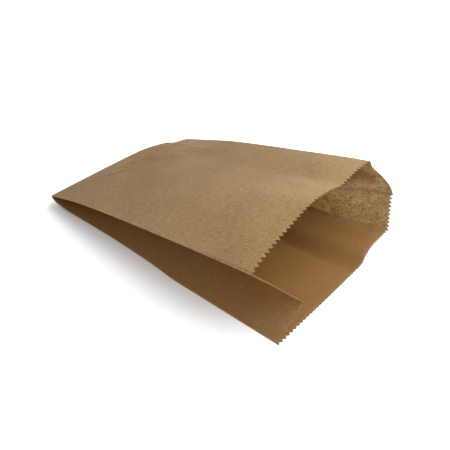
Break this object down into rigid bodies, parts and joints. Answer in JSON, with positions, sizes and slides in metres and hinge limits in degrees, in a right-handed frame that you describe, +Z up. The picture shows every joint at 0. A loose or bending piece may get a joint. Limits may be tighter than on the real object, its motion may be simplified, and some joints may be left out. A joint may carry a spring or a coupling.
{
  "type": "gusseted paper bag",
  "caption": "Plain brown kraft paper bag with tucked side gussets, a folded-under bottom and a serrated, lipped mouth standing open as it lies on its back.",
  "frame": {"origin": "under the middle of the bag, on the surface that it lies on", "axes": "+X from the closed end to the mouth, +Y from the near side to the far side, +Z up"},
  "size_m": [0.244, 0.1646, 0.0626],
  "materials": {
    "kraft_paper": "matt unbleached kraft, slightly glazed on the outside"
  },
  "bodies": {
    "root": {"paper_bag": "kraft_paper"}
  },
  "joints": []
}
